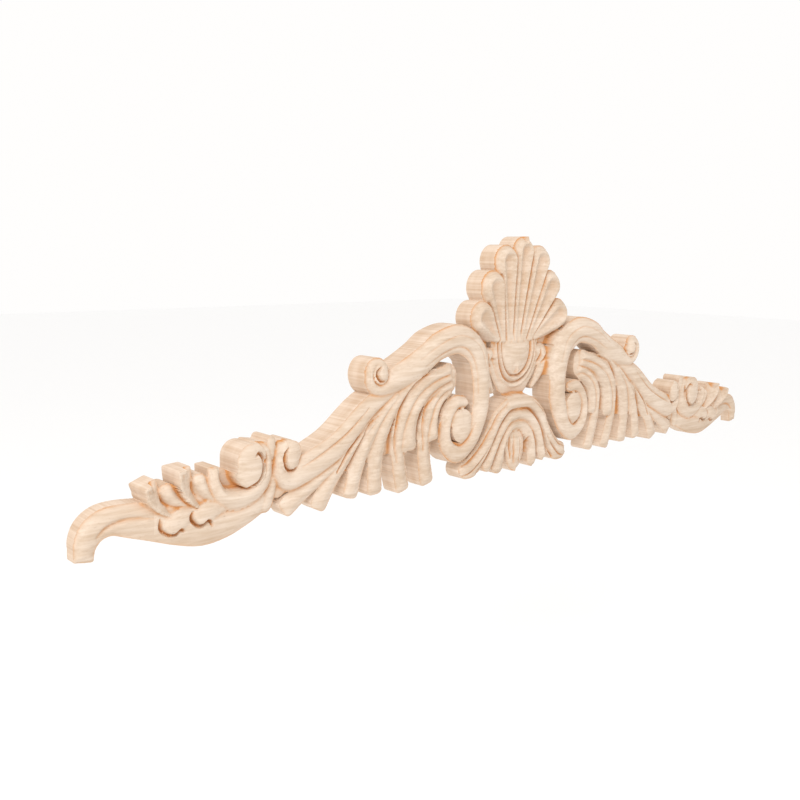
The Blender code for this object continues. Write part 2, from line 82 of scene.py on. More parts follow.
# For the tint of the cuts, the orange of cut wood with painted shade in the grooves: how many grid steps
# away a place is compared with, and the depth that counts as full
NEAR_REACH, NEAR_DEPTH = 2, 0.045
WIDE_REACH, WIDE_DEPTH = 8, 0.20

# Edges sharper than this many degrees are drawn sharp
SHARP_ANGLE = 40.0

# Keeps a crossing of the outline this share of a step away from the grid's own points
CROSSING_MARGIN = 0.08

# Points nearer than this are one for the back's triangles, and a divisor is never under TINY
SAME_PLACE = 1e-7
TINY = 1e-9

# Sections across a stroke: crest position, fall to its right, fall to its left, power of the fall
ROUND = (0.0, 0.24, 0.24, 2.0)
RIDGE = (0.0, 0.16, 0.16, 1.2)
FLAT = (0.0, 0.08, 0.08, 3.0)
COLLAR = (0.0, 0.16, 0.16, 3.0)
ARCH = (0.10, 0.18, 0.24, 1.6)
FINGER = (0.0, 0.17, 0.17, 1.5)
BAND = (-0.35, 0.20, 0.24, 1.8)
ARM = (-0.10, 0.34, 0.18, 2.0)
SCROLL = (0.05, 0.26, 0.20, 2.0)
DOME = (0.0, 0.11, 0.11, 2.4)
LOBE = (0.0, 0.36, 0.36, 3.0)
TAIL = (0.15, 0.22, 0.26, 2.0)
SHINGLE = (-0.86, 0.04, 0.42, 1.0)

# The power of the curve round a stroke's ends: 2 is a half circle, more gives squarer corners
ROUND_ENDS = 2
BLUNT_ENDS = 4
SQUARE_ENDS = 12

# Shell of seven lobes: where they start, and their tips by angle and reach from the fan's focus
LOBE_ROOTS = ((0.0, 0.1520), (0.0112, 0.1530), (0.0222, 0.1540), (0.0315, 0.1555))
SHELL_FOCUS = (0.0, 0.149)
SHELL_ANGLES = (0.0, 16.8, 36.7, 64.0)
SHELL_REACHES = (0.0995, 0.0930, 0.0766, 0.0682)

# Half widths of a lobe at its tip, half way as a share of the tip, and at its root; its heights
LOBE_TIPS = (0.0164, 0.0178, 0.0186, 0.0182)
LOBE_WAIST = 0.72
LOBE_ROOT = 0.0060
LOBE_HEIGHTS = (0.58, 0.74, 0.95)

# The flute down each lobe: half widths at root and half way, and at the tip as a share of the lobe
FLUTE_ROOT = 0.0036
FLUTE_WAIST = 0.0058
FLUTE_SHARE = 0.56
FLUTE_DEPTHS = (0.04, 0.12, 0.20)

# Straight steps between two rows of a V cut
CUT_STEPS = 6


def spline(rows, steps):
    """A Catmull-Rom line through the rows: each row is x, z, half width, height."""
    rows = np.asarray(rows, float)
    padded = np.vstack([2 * rows[0] - rows[1], rows, 2 * rows[-1] - rows[-2]])
    t = (np.arange(steps) / steps)[:, None]
    parts = []
    for k in range(1, len(rows)):
        a, b, c, d = padded[k - 1:k + 3]
        curve = b + 0.5 * t * ((c - a) + t * ((2 * a - 5 * b + 4 * c - d) + t * (3 * b - a - 3 * c + d)))
        parts.append(curve)
    parts.append(rows[-1:])
    return np.vstack(parts)


def bow(root, bend, tip, widths, heights, steps=12):
    """A quadratic bow: root (1-t)^2, bend 2t(1-t), tip t^2, its half width and height interpolated."""
    t = np.linspace(0.0, 1.0, steps + 1)[:, None]
    line = (1 - t) ** 2 * np.array(root) + 2 * t * (1 - t) * np.array(bend) + t ** 2 * np.array(tip)
    at = t[:, 0]
    wide = np.interp(at, (0.0, 0.5, 1.0), widths)
    high = np.interp(at, (0.0, 0.5, 1.0), heights)
    return np.column_stack([line, wide, high])


def shell_lobes():
    """Root, tip and half width at the tip of the middle lobe and of the three to its right."""
    for root, angle, reach, wide in zip(LOBE_ROOTS, SHELL_ANGLES, SHELL_REACHES, LOBE_TIPS):
        way = np.array([math.sin(math.radians(angle)), math.cos(math.radians(angle))])
        yield np.array(root), np.array(SHELL_FOCUS) + way * reach, wide


def strokes():
    """All strokes of the right half: line, section, and the power that rounds its ends."""
    out = []

    def add(line, section, ends=ROUND_ENDS):
        out.append((np.asarray(line, float), section, ends))

    def curve(section, steps, rows, ends=ROUND_ENDS):
        add(spline(rows, steps), section, ends)

    # Shell: seven round lobes that fan out from the boss and roll down to their rims
    add([(0, 0.160, 0.040, 0.46), (0, 0.190, 0.053, 0.50), (0, 0.215, 0.036, 0.50)], FLAT)
    for root, tip, wide in shell_lobes():
        add(bow(root, (root + tip) / 2, tip, (LOBE_ROOT, wide * LOBE_WAIST, wide), LOBE_HEIGHTS), LOBE)
    # Shell boss in its collar
    curve(COLLAR, 4, [
        (0, 0.165, 0.0335, 0.50), (0, 0.150, 0.0352, 0.51), (0, 0.130, 0.0325, 0.51),
        (0, 0.112, 0.0260, 0.48), (0, 0.100, 0.0190, 0.42), (0, 0.093, 0.0148, 0.36)])
    curve(ROUND, 4, [
        (0, 0.1480, 0.0205, 0.60), (0, 0.1420, 0.0222, 0.66), (0, 0.1360, 0.0200, 0.67),
        (0, 0.1310, 0.0154, 0.64)])
    curve(RIDGE, 4, [
        (0.0262, 0.1520, 0.0018, 0.54), (0.0270, 0.1420, 0.0024, 0.58), (0.0246, 0.1300, 0.0026, 0.58),
        (0.0190, 0.1190, 0.0026, 0.57), (0.0100, 0.1112, 0.0024, 0.55), (0, 0.1088, 0.0024, 0.54)])
    curve(RIDGE, 4, [
        (0.0320, 0.1490, 0.0018, 0.52), (0.0320, 0.1380, 0.0026, 0.55), (0.0286, 0.1240, 0.0026, 0.54),
        (0.0212, 0.1110, 0.0026, 0.52), (0.0100, 0.1025, 0.0024, 0.50), (0, 0.1002, 0.0024, 0.48)])
    # Side leaf between the collar and the scroll, its stalk down the collar, and the web above
    curve(ROUND, 4, [
        (0.0395, 0.1385, 0.0070, 0.48), (0.0485, 0.1335, 0.0096, 0.55), (0.0488, 0.1220, 0.0084, 0.55),
        (0.0415, 0.1090, 0.0056, 0.50), (0.0335, 0.0975, 0.0032, 0.44)])
    curve(RIDGE, 4, [
        (0.0380, 0.1290, 0.0050, 0.45), (0.0305, 0.1130, 0.0040, 0.45), (0.0215, 0.0985, 0.0030, 0.40)])
    add([(0.0480, 0.1480, 0.0060, 0.34), (0.0600, 0.1560, 0.0080, 0.34)], FLAT)

    # Base palmette: a bud under three arches of leaf, the outermost running into the long outer leaf
    curve(ROUND, 4, [
        (0, 0.0480, 0.0080, 0.62), (0, 0.0400, 0.0140, 0.70), (0, 0.0290, 0.0150, 0.72),
        (0, 0.0180, 0.0120, 0.70), (0, 0.0110, 0.0072, 0.66)])
    curve(ARCH, 5, [
        (0, 0.0585, 0.0056, 0.75), (0.0110, 0.0560, 0.0060, 0.77), (0.0205, 0.0455, 0.0066, 0.79),
        (0.0260, 0.0310, 0.0080, 0.77), (0.0290, 0.0140, 0.0086, 0.72)])
    curve(ARCH, 5, [
        (0, 0.0700, 0.0062, 0.82), (0.0170, 0.0660, 0.0066, 0.84), (0.0305, 0.0520, 0.0072, 0.84),
        (0.0390, 0.0350, 0.0072, 0.80), (0.0465, 0.0170, 0.0070, 0.74)])
    curve(ARCH, 5, [
        (0, 0.0830, 0.0075, 0.84), (0.0200, 0.0795, 0.0085, 0.86), (0.0360, 0.0660, 0.0092, 0.86),
        (0.0460, 0.0480, 0.0100, 0.84), (0.0580, 0.0315, 0.0112, 0.80), (0.0700, 0.0200, 0.0118, 0.76),
        (0.0790, 0.0175, 0.0106, 0.74)])

    # Leaf behind the fingers, then the fingers: root, bend and tip, then half widths and heights
    curve(FLAT, 5, [
        (0.1150, 0.117, 0.0165, 0.50), (0.1500, 0.095, 0.0300, 0.50), (0.1900, 0.0780, 0.0290, 0.50),
        (0.2250, 0.0620, 0.0180, 0.50), (0.2700, 0.0430, 0.0100, 0.50), (0.3000, 0.0340, 0.0080, 0.50)])
    add([(0.1115, 0.1215, 0.0135, 0.70), (0.1115, 0.1150, 0.0135, 0.70)], DOME)
    fingers = [
        ((0.1110, 0.1040), (0.1360, 0.0960), (0.1335, 0.0642), (0.0045, 0.0065, 0.0074), (0.80, 0.86, 0.86)),
        ((0.1085, 0.1115), (0.1590, 0.1010), (0.1370, 0.0190), (0.0045, 0.0072, 0.0092), (0.82, 0.86, 0.66)),
        ((0.1110, 0.1195), (0.1685, 0.1080), (0.1660, 0.0602), (0.0045, 0.0078, 0.0098), (0.84, 0.88, 0.86)),
        ((0.1140, 0.1275), (0.2000, 0.1120), (0.1705, 0.0166), (0.0060, 0.0078, 0.0088), (0.86, 0.86, 0.66)),
        ((0.1540, 0.1240), (0.2140, 0.0900), (0.2060, 0.0202), (0.0055, 0.0086, 0.0092), (0.84, 0.84, 0.66)),
        ((0.1830, 0.1073), (0.2240, 0.0760), (0.2355, 0.0215), (0.0045, 0.0072, 0.0090), (0.82, 0.82, 0.68)),
        ((0.2080, 0.0873), (0.2480, 0.0610), (0.2720, 0.0175), (0.0040, 0.0078, 0.0098), (0.80, 0.78, 0.68)),
        ((0.2440, 0.0540), (0.2840, 0.0360), (0.3070, 0.0195), (0.0040, 0.0070, 0.0095), (0.76, 0.74, 0.68)),
    ]
    for finger in fingers:
        add(bow(*finger), FINGER, BLUNT_ENDS)

    # Lower arm and its small volute
    curve(ARM, 5, [
        (0.1700, 0.1200, 0.0100, 0.70), (0.2154, 0.0995, 0.0120, 0.84), (0.2505, 0.0702, 0.0144, 0.88),
        (0.2756, 0.0568, 0.0152, 0.88), (0.2952, 0.0490, 0.0152, 0.86), (0.3083, 0.0430, 0.0108, 0.84),
        (0.3192, 0.0494, 0.0075, 0.84), (0.3217, 0.0610, 0.0048, 0.82), (0.3195, 0.0729, 0.0060, 0.82),
        (0.3121, 0.0761, 0.0055, 0.80)])
    add([(0.3100, 0.0698, 0.0105, 0.92), (0.3112, 0.0625, 0.0092, 0.92)], DOME)

    # Upper scroll: curl on the shoulder, over the top, round and into the inner volute
    curve(SCROLL, 5, [
        (0.2000, 0.1325, 0.0050, 0.86), (0.2048, 0.1408, 0.0055, 0.86), (0.2143, 0.1400, 0.0060, 0.88),
        (0.2188, 0.1305, 0.0060, 0.88), (0.2145, 0.1200, 0.0065, 0.88), (0.2030, 0.1160, 0.0075, 0.90),
        (0.1830, 0.1245, 0.0130, 0.92), (0.1635, 0.1325, 0.0145, 0.94), (0.1440, 0.1440, 0.0138, 0.96),
        (0.1265, 0.1545, 0.0145, 1.00), (0.0985, 0.1590, 0.0152, 1.00), (0.0749, 0.1459, 0.0153, 0.99),
        (0.0672, 0.1290, 0.0147, 0.98), (0.0640, 0.1070, 0.0137, 0.96), (0.0644, 0.0850, 0.0138, 0.96),
        (0.0700, 0.0665, 0.0127, 0.96), (0.0797, 0.0492, 0.0113, 0.94), (0.0965, 0.0388, 0.0113, 0.92),
        (0.1120, 0.0475, 0.0088, 0.90), (0.1165, 0.0640, 0.0076, 0.90), (0.1125, 0.0810, 0.0076, 0.90),
        (0.1020, 0.0925, 0.0076, 0.90), (0.0890, 0.0925, 0.0065, 0.88)])
    add([(0.0935, 0.0715, 0.0142, 0.92), (0.0935, 0.0645, 0.0142, 0.92)], DOME)
    add([(0.2066, 0.1350, 0.0084, 0.95), (0.2056, 0.1302, 0.0080, 0.95)], DOME)

    # Tail: swept body, then the outer volute with its tab, leaf and webs
    curve(TAIL, 5, [
        (0.3376, 0.0266, 0.0110, 0.62), (0.3555, 0.0185, 0.0112, 0.64), (0.3742, 0.0155, 0.0145, 0.66),
        (0.3950, 0.0165, 0.0178, 0.68), (0.4162, 0.0215, 0.0178, 0.66), (0.4362, 0.0272, 0.0165, 0.64),
        (0.4560, 0.0318, 0.0145, 0.60), (0.4705, 0.0345, 0.0125, 0.57), (0.4812, 0.0332, 0.0120, 0.54),
        (0.4895, 0.0280, 0.0112, 0.52), (0.4943, 0.0200, 0.0098, 0.50), (0.4956, 0.0128, 0.0084, 0.47)],
        SQUARE_ENDS)
    curve(BAND, 5, [
        (0.3868, 0.0622, 0.0046, 0.84), (0.3858, 0.0510, 0.0058, 0.84), (0.3785, 0.0390, 0.0070, 0.84),
        (0.3634, 0.0342, 0.0088, 0.84), (0.3463, 0.0384, 0.0083, 0.84), (0.3354, 0.0494, 0.0072, 0.84),
        (0.3324, 0.0630, 0.0055, 0.82), (0.3343, 0.0748, 0.0055, 0.82), (0.3425, 0.0770, 0.0060, 0.84)],
        SQUARE_ENDS)
    add([(0.3524, 0.0690, 0.0142, 0.97), (0.3524, 0.0594, 0.0144, 0.97)], DOME)
    add([(0.3298, 0.0818, 0.0048, 0.78), (0.3305, 0.0702, 0.0050, 0.76)], FLAT)
    curve(ROUND, 5, [
        (0.3243, 0.0557, 0.0050, 0.66), (0.3259, 0.0398, 0.0065, 0.66), (0.3323, 0.0244, 0.0090, 0.62)])
    add([(0.3470, 0.0460, 0.0070, 0.46), (0.3640, 0.0470, 0.0080, 0.46), (0.3755, 0.0555, 0.0072, 0.46)],
        FLAT)
    add([(0.3060, 0.0400, 0.0060, 0.55), (0.3185, 0.0330, 0.0058, 0.55)], FLAT)
    # Small leaves behind the blades, and the low webs that join them
    curve(ROUND, 4, [
        (0.3860, 0.0375, 0.0030, 0.68), (0.3935, 0.0455, 0.0062, 0.74), (0.3985, 0.0555, 0.0072, 0.76)])
    curve(ROUND, 4, [
        (0.4110, 0.0370, 0.0030, 0.64), (0.4205, 0.0430, 0.0060, 0.70), (0.4275, 0.0505, 0.0080, 0.72)])
    add([(0.4080, 0.0420, 0.0070, 0.60), (0.4140, 0.0600, 0.0062, 0.66)], FLAT)
    add([(0.4330, 0.0380, 0.0090, 0.56), (0.4432, 0.0500, 0.0060, 0.60)], FLAT)
    add([(0.3950, 0.0400, 0.0052, 0.60), (0.4035, 0.0500, 0.0052, 0.62)], FLAT)
    # Two shingled blades, each steep on its outer side
    blades = [
        [(0.3985, 0.0362, 0.0030, 0.72), (0.4078, 0.0468, 0.0062, 0.84), (0.4126, 0.0575, 0.0080, 0.92),
         (0.4132, 0.0612, 0.0084, 0.94)],
        [(0.4240, 0.0330, 0.0030, 0.68), (0.4340, 0.0425, 0.0060, 0.80), (0.4402, 0.0502, 0.0074, 0.88),
         (0.4418, 0.0537, 0.0078, 0.90)],
    ]
    for blade in blades:
        curve(SHINGLE, 4, blade, SQUARE_ENDS)
    # The two folded lobes that lie on the tail's body
    curve(DOME, 4, [
        (0.3800, 0.0310, 0.0070, 0.70), (0.3900, 0.0290, 0.0082, 0.76), (0.3985, 0.0255, 0.0076, 0.78)])
    curve(DOME, 4, [
        (0.4060, 0.0310, 0.0060, 0.68), (0.4150, 0.0270, 0.0080, 0.74), (0.4245, 0.0225, 0.0082, 0.74)])
    return out


def hollows():
    """Round gouge cuts of the right half: lines whose rows are x, z, half width and depth."""
    out = []
    for root, tip, wide in shell_lobes():
        widths = (FLUTE_ROOT, FLUTE_WAIST, wide * FLUTE_SHARE)
        out.append(bow(root, (root + tip) / 2, tip, widths, FLUTE_DEPTHS))
    out.append(spline([(0.0185, 0.0410, 0.0018, 0.10), (0.0192, 0.0320, 0.0032, 0.36),
                       (0.0182, 0.0235, 0.0026, 0.22)], 4))
    return out


def cuts():
    """The V cuts of the right half: lines whose rows are x, z, half width and depth."""
    out = []

    def cut(rows):
        out.append(spline(rows, CUT_STEPS))

    # Between the lobes of the shell
    lobes = list(shell_lobes())
    for (root_a, tip_a, _), (root_b, tip_b, _) in zip(lobes[:-1], lobes[1:]):
        root, tip = (root_a + root_b) / 2, (tip_a + tip_b) / 2
        cut([(*root, 0.0010, 0.04), (*((root + tip) / 2), 0.0015, 0.09), (*tip, 0.0018, 0.10)])
    # Inside the two raised lines of the boss
    cut([(0.0238, 0.1510, 0.0014, 0.04), (0.0244, 0.1410, 0.0018, 0.10), (0.0220, 0.1300, 0.0018, 0.12),
         (0.0166, 0.1205, 0.0018, 0.12), (0.0085, 0.1138, 0.0018, 0.12), (0, 0.1120, 0.0018, 0.12)])
    cut([(0.0292, 0.1500, 0.0014, 0.04), (0.0295, 0.1390, 0.0018, 0.10), (0.0265, 0.1265, 0.0018, 0.12),
         (0.0200, 0.1148, 0.0018, 0.12), (0.0100, 0.1068, 0.0018, 0.12), (0, 0.1046, 0.0018, 0.12)])
    # Scallops of the side leaf
    cut([(0.0380, 0.1245, 0.0014, 0.05), (0.0430, 0.1300, 0.0019, 0.15), (0.0440, 0.1390, 0.0016, 0.07)])
    cut([(0.0440, 0.1235, 0.0014, 0.05), (0.0500, 0.1300, 0.0019, 0.12), (0.0530, 0.1350, 0.0014, 0.05)])
    # Creases of the bud and the arches round it
    cut([(0.0040, 0.0480, 0.0008, 0.03), (0.0055, 0.0340, 0.0016, 0.10), (0.0040, 0.0150, 0.0016, 0.10)])
    cut([(0.0020, 0.0765, 0.0014, 0.06), (0.0180, 0.0735, 0.0019, 0.15), (0.0325, 0.0595, 0.0019, 0.15),
         (0.0420, 0.0430, 0.0019, 0.15), (0.0520, 0.0260, 0.0019, 0.15), (0.0640, 0.0120, 0.0019, 0.10)])
    cut([(0.0200, 0.0850, 0.0011, 0.04), (0.0370, 0.0720, 0.0016, 0.10), (0.0480, 0.0560, 0.0016, 0.10),
         (0.0600, 0.0400, 0.0016, 0.10), (0.0740, 0.0270, 0.0016, 0.10), (0.0860, 0.0215, 0.0016, 0.07)])
    cut([(0.0480, 0.0400, 0.0011, 0.04), (0.0600, 0.0265, 0.0016, 0.10), (0.0740, 0.0145, 0.0016, 0.10),
         (0.0850, 0.0110, 0.0014, 0.05)])
    # Ribs carved along the long fingers
    cut([(0.1240, 0.1090, 0.0008, 0.03), (0.1420, 0.0940, 0.0014, 0.10), (0.1475, 0.0760, 0.0014, 0.10),
         (0.1455, 0.0480, 0.0014, 0.05)])
    cut([(0.1300, 0.1290, 0.0008, 0.03), (0.1600, 0.1180, 0.0014, 0.10), (0.1770, 0.0960, 0.0014, 0.12),
         (0.1835, 0.0640, 0.0014, 0.10), (0.1800, 0.0400, 0.0014, 0.04)])
    cut([(0.2030, 0.0925, 0.0008, 0.03), (0.2180, 0.0820, 0.0014, 0.12), (0.2300, 0.0640, 0.0016, 0.15),
         (0.2390, 0.0430, 0.0016, 0.07)])
    cut([(0.2150, 0.0860, 0.0008, 0.03), (0.2400, 0.0640, 0.0014, 0.12), (0.2560, 0.0420, 0.0016, 0.10)])
    # Stripes down the side of the base palmette and a groove of its bud
    cut([(0.0300, 0.0620, 0.0008, 0.04), (0.0410, 0.0470, 0.0016, 0.14), (0.0475, 0.0300, 0.0017, 0.16),
         (0.0560, 0.0160, 0.0015, 0.10)])
    cut([(0.0250, 0.0480, 0.0008, 0.04), (0.0320, 0.0340, 0.0016, 0.14), (0.0350, 0.0200, 0.0016, 0.14),
         (0.0370, 0.0110, 0.0012, 0.08)])
    cut([(0.0100, 0.0440, 0.0008, 0.04), (0.0105, 0.0330, 0.0015, 0.12), (0.0085, 0.0200, 0.0013, 0.08)])
    # Lines that follow the scroll and the arm
    cut([(0.1500, 0.1345, 0.0011, 0.03), (0.1250, 0.1470, 0.0019, 0.06), (0.1000, 0.1515, 0.0019, 0.06),
         (0.0830, 0.1410, 0.0019, 0.06), (0.0750, 0.1230, 0.0016, 0.04), (0.0720, 0.1000, 0.0014, 0.03)])
    cut([(0.1560, 0.1420, 0.0011, 0.03), (0.1260, 0.1580, 0.0016, 0.04), (0.0980, 0.1630, 0.0016, 0.04),
         (0.0730, 0.1500, 0.0016, 0.04), (0.0630, 0.1250, 0.0014, 0.03)])
    # The hook-shaped groove that parts each volute's eye from its band
    cut([(0.3495, 0.0715, 0.0014, 0.05), (0.3465, 0.0738, 0.0020, 0.18), (0.3428, 0.0715, 0.0023, 0.25),
         (0.3402, 0.0650, 0.0023, 0.25), (0.3412, 0.0560, 0.0023, 0.25), (0.3462, 0.0482, 0.0020, 0.22),
         (0.3550, 0.0442, 0.0016, 0.15)])
    cut([(0.3142, 0.0742, 0.0012, 0.06), (0.3168, 0.0690, 0.0017, 0.20), (0.3170, 0.0610, 0.0018, 0.24),
         (0.3138, 0.0545, 0.0018, 0.24), (0.3082, 0.0520, 0.0017, 0.20), (0.3040, 0.0545, 0.0012, 0.08)])
    cut([(0.2075, 0.1388, 0.0012, 0.06), (0.2112, 0.1350, 0.0017, 0.20), (0.2108, 0.1290, 0.0018, 0.24),
         (0.2068, 0.1245, 0.0017, 0.22), (0.2020, 0.1245, 0.0012, 0.10)])
    # Folds of the tail and its centre crease
    cut([(0.3880, 0.0150, 0.0011, 0.06), (0.3895, 0.0195, 0.0019, 0.20), (0.3930, 0.0208, 0.0019, 0.20),
         (0.3965, 0.0180, 0.0019, 0.20), (0.4010, 0.0178, 0.0019, 0.22), (0.4055, 0.0220, 0.0022, 0.22),
         (0.4080, 0.0270, 0.0022, 0.18), (0.4060, 0.0310, 0.0014, 0.06)])
    cut([(0.4140, 0.0150, 0.0011, 0.06), (0.4155, 0.0172, 0.0019, 0.20), (0.4185, 0.0168, 0.0019, 0.20),
         (0.4210, 0.0142, 0.0019, 0.20), (0.4255, 0.0140, 0.0019, 0.22), (0.4310, 0.0172, 0.0022, 0.22),
         (0.4345, 0.0220, 0.0022, 0.18), (0.4350, 0.0300, 0.0014, 0.05)])
    cut([(0.4400, 0.0315, 0.0016, 0.03), (0.4560, 0.0340, 0.0035, 0.09), (0.4680, 0.0335, 0.0035, 0.10),
         (0.4790, 0.0300, 0.0030, 0.09), (0.4860, 0.0240, 0.0019, 0.04)])
    cut([(0.4010, 0.0430, 0.0011, 0.04), (0.4050, 0.0490, 0.0016, 0.10), (0.4060, 0.0560, 0.0014, 0.04)])
    cut([(0.4270, 0.0390, 0.0011, 0.04), (0.4325, 0.0440, 0.0016, 0.10), (0.4340, 0.0500, 0.0014, 0.04)])
    # Lines along the arm and round the inner volute
    cut([(0.2200, 0.1000, 0.0008, 0.03), (0.2480, 0.0780, 0.0016, 0.07), (0.2740, 0.0640, 0.0016, 0.07),
         (0.2980, 0.0540, 0.0012, 0.03)])
    cut([(0.0760, 0.0700, 0.0010, 0.03), (0.0840, 0.0550, 0.0016, 0.08), (0.0960, 0.0470, 0.0016, 0.10),
         (0.1060, 0.0540, 0.0015, 0.08), (0.1090, 0.0650, 0.0012, 0.04)])
    cut([(0.1180, 0.0370, 0.0008, 0.03), (0.1240, 0.0560, 0.0013, 0.06), (0.1210, 0.0760, 0.0010, 0.03)])
    return out


def nearest(points, line):
    """Where a line passes each point: row, share to the next row, gap, half width and side.

    The row taken is the one whose gap is the smallest share of its half width.
    """
    p = points[:, None, :]
    a = line[:-1, :2]
    ab = line[1:, :2] - a
    size = np.maximum((ab ** 2).sum(axis=1), TINY)
    t = np.clip(((p - a) * ab).sum(axis=2) / size, 0.0, 1.0)
    off = p - (a + t[..., None] * ab)
    gap = np.sqrt((off ** 2).sum(axis=2))
    wide = line[:-1, 2] + t * (line[1:, 2] - line[:-1, 2])
    pick = np.argmin(gap / wide, axis=1)
    row = np.arange(len(points))
    turn = ab[pick, 0] * off[row, pick, 1] - ab[pick, 1] * off[row, pick, 0]
    return pick, t[row, pick], gap[row, pick], wide[row, pick], np.sign(turn)


def squarer(points, line, pick, t, gap, ends):
    """The gaps, where past the line's ends they are the n-th root of along^n + across^n."""
    last = len(line) - 2
    for past, end, before in (((pick == last) & (t >= 1.0), line[-1], line[-2]),
                              ((pick == 0) & (t <= 0.0), line[0], line[1])):
        way = end[:2] - before[:2]
        along = np.abs((points - end[:2]) @ (way / np.linalg.norm(way)))
        across = np.sqrt(np.maximum(gap ** 2 - along ** 2, 0.0))
        gap = np.where(past, (along ** ends + across ** ends) ** (1.0 / ends), gap)
    return gap


def close_to(points, line, margin):
    """The indices of the points in the line's box, widened by its half width and a margin."""
    reach = line[:, 2].max() + margin
    low, high = line[:, :2].min(axis=0) - reach, line[:, :2].max(axis=0) + reach
    return np.nonzero(((points >= low) & (points <= high)).all(axis=1))[0]


def relief(points):
    """Inside distance in units and front height as a share of the thickness, at plan points.

    A section falls from its crest to each side by a share that grows as a power. The height is the
    highest stroke at the point, less the deepest cut there: a hollow is a parabola, a cut a V.
    """
    inside = np.full(len(points), -1.0)
    height = np.zeros(len(points))
    for line, (crest, right, left, power), ends in strokes():
        near = close_to(points, line, 4 * GRID_PITCH)
        pick, t, gap, wide, side = nearest(points[near], line)
        if ends > ROUND_ENDS:
            gap = squarer(points[near], line, pick, t, gap, ends)
        s = side * gap / wide
        away = np.where(s > crest, (s - crest) / (1.0 - crest), (crest - s) / (1.0 + crest))
        fall = np.where(s > crest, left, right) * np.clip(away, 0.0, 1.0) ** power
        level = line[pick, 3] + t * (line[pick + 1, 3] - line[pick, 3])
        covered = wide - gap > -GRID_PITCH
        inside[near] = np.maximum(inside[near], wide - gap)
        height[near] = np.where(covered, np.maximum(height[near], level * (1.0 - fall)), height[near])
    sunk = np.zeros(len(points))
    for lines, power in ((hollows(), 2), (cuts(), 1)):
        for line in lines:
            near = close_to(points, line, 0.0)
            pick, t, gap, wide, _ = nearest(points[near], line)
            depth = line[pick, 3] + t * (line[pick + 1, 3] - line[pick, 3])
            sunk[near] = np.maximum(sunk[near], depth * np.clip(1.0 - (gap / wide) ** power, 0.0, 1.0))
    return inside, np.clip(height - sunk, WEB_HEIGHT, HIGHEST)


def soften(field, mask, reach):
    """The mean of the field over a square of grid points that lie in the mask, by running sums."""
    size = 2 * reach + 1

    def box(values):
        for axis in (0, 1):
            pad = [(0, 0), (0, 0)]
            pad[axis] = (reach + 1, reach)
            total = np.cumsum(np.pad(values, pad), axis=axis)
            upper = np.take(total, np.arange(size, total.shape[axis]), axis=axis)
            lower = np.take(total, np.arange(0, total.shape[axis] - size), axis=axis)
            values = upper - lower
        return values

    weight = mask.astype(float)
    return box(field * weight) / np.maximum(box(weight), TINY)


# Grid over the right half, from the centre line outwards, then both halves side by side
half_x = np.arange(0.0, GRID_SIDE, GRID_PITCH)
grid_z = np.arange(GRID_LOW, GRID_HIGH, GRID_PITCH)
plan_x, plan_z = np.meshgrid(half_x, grid_z, indexing="ij")
inside, height = relief(np.column_stack([plan_x.ravel(), plan_z.ravel()]))
inside = inside.reshape(plan_x.shape)
height = height.reshape(plan_x.shape)
inside = np.concatenate([inside[:0:-1], inside])
height = np.concatenate([height[:0:-1], height])
grid_x = np.concatenate([-half_x[:0:-1], half_x])
wood_here = inside > -GRID_PITCH
height = np.where(wood_here, height, WEB_HEIGHT)
height = (1 - SOFTENING) * height + SOFTENING * soften(height, wood_here, 1)

# How much lower each place lies than what is round it, near and further away, for the tint: the orange of
# cut wood and painted shade, both deeper in the grooves
cut_shade_near = np.clip((soften(height, wood_here, NEAR_REACH) - height) / NEAR_DEPTH, 0.0, 1.0)
cut_shade_wide = np.clip((soften(height, wood_here, WIDE_REACH) - height) / WIDE_DEPTH, 0.0, 1.0)

# The grid points in the wood are vertices, and so is each place where the outline crosses a grid
# line. Numbering: grid points first, then crossings along x, then crossings along z.
solid = inside > 0.0
nx, nz = solid.shape
ids = np.full(nx * nz, -1)
ids[np.nonzero(solid.ravel())[0]] = np.arange(solid.sum())
ids = ids.reshape(nx, nz)


def crossings(axis, start):
    """Vertices where the outline crosses the grid lines of one axis: ids, plan places and levels.

    The place is where the inside distance is nought on the straight line between the two points.
    """
    near = (slice(None, -1), slice(None)) if axis == 0 else (slice(None), slice(None, -1))
    far = (slice(1, None), slice(None)) if axis == 0 else (slice(None), slice(1, None))
    change = solid[near] != solid[far]
    share = inside[near] / np.where(change, inside[near] - inside[far], 1.0)
    share = np.clip(share[change], CROSSING_MARGIN, 1.0 - CROSSING_MARGIN)
    number = np.full(change.shape, -1)
    number[change] = start + np.arange(change.sum())
    i, j = np.nonzero(change)
    x = grid_x[i] + (share * GRID_PITCH if axis == 0 else 0.0)
    z = grid_z[j] + (share * GRID_PITCH if axis == 1 else 0.0)
    mixed = []
    for field in (height, cut_shade_near, cut_shade_wide):
        mixed.append(np.where(solid[near][change], field[near][change], field[far][change]))
    return number, np.column_stack([x, z]), mixed


i, j = np.nonzero(solid)
places = [np.column_stack([grid_x[i], grid_z[j]])]
levels = [[height[solid], cut_shade_near[solid], cut_shade_wide[solid]]]
cross_x, place, mixed = crossings(0, solid.sum())
places.append(place)
levels.append(mixed)
cross_z, place, mixed = crossings(1, solid.sum() + len(place))
places.append(place)
levels.append(mixed)
places = np.vstack(places)
front_level, near_shade_level, wide_shade_level = (np.concatenate([row[k] for row in levels]) for k in range(3))

